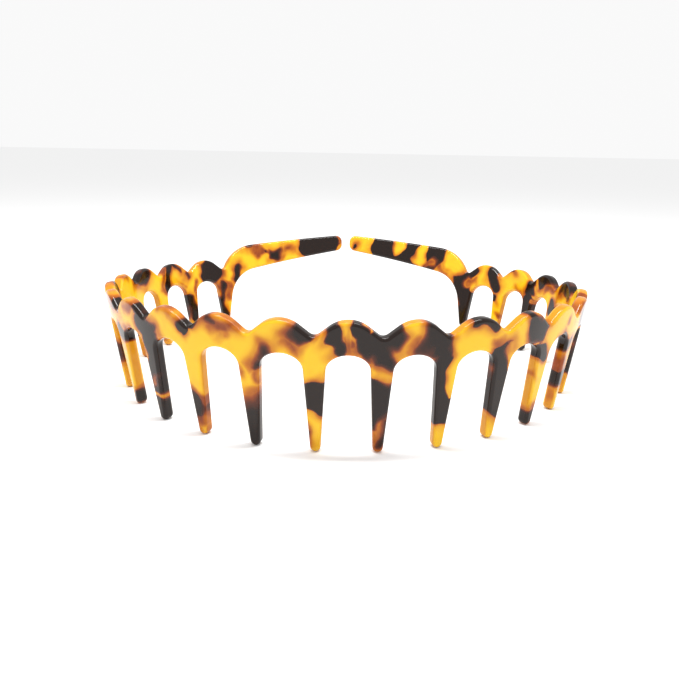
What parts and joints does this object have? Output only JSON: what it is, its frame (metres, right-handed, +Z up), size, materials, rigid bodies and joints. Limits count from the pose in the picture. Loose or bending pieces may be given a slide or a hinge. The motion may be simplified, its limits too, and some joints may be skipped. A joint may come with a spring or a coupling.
{
  "type": "comb headband",
  "caption": "Springy comb headband: an open ring with a scalloped top edge, tapering teeth along its lower edge and two smooth end arms that nearly meet at the back.",
  "frame": {"origin": "on the surface that the ring stands on, under the middle of its box", "axes": "+Z up, out of the ring; -Y towards the front of the head, +Y towards the gap between the arms; +X to the right as seen from the front"},
  "size_m": [0.13, 0.1232, 0.0302],
  "materials": {
    "acetate": "hand-polished acetate, amber and dark brown tortoiseshell"
  },
  "bodies": {
    "crown": {"band_crown": "acetate", "tooth_08": "acetate", "tooth_09": "acetate", "tooth_10": "acetate", "tooth_11": "acetate", "tooth_12": "acetate", "tooth_13": "acetate", "tooth_14": "acetate", "tooth_15": "acetate"},
    "left_side": {"band_left": "acetate", "shoulder_left": "acetate", "arm_left": "acetate", "tooth_01": "acetate", "tooth_02": "acetate", "tooth_03": "acetate", "tooth_04": "acetate", "tooth_05": "acetate", "tooth_06": "acetate", "tooth_07": "acetate"},
    "right_side": {"band_right": "acetate", "shoulder_right": "acetate", "arm_right": "acetate", "tooth_16": "acetate", "tooth_17": "acetate", "tooth_18": "acetate", "tooth_19": "acetate", "tooth_20": "acetate", "tooth_21": "acetate", "tooth_22": "acetate"}
  },
  "joints": [
    {"name": "left_flex", "type": "hinge", "parent": "crown", "child": "left_side", "pos_m": [-0.0498, -0.03927, 0.02434], "axis": [-0.128, -0.0656, 0.9896], "range_deg": [0, 12], "stiffness_Nm_per_rad": 1},
    {"name": "right_flex", "type": "hinge", "parent": "crown", "child": "right_side", "pos_m": [0.0498, -0.03927, 0.02434], "axis": [-0.128, 0.0656, -0.9896], "range_deg": [0, 12], "stiffness_Nm_per_rad": 1}
  ]
}
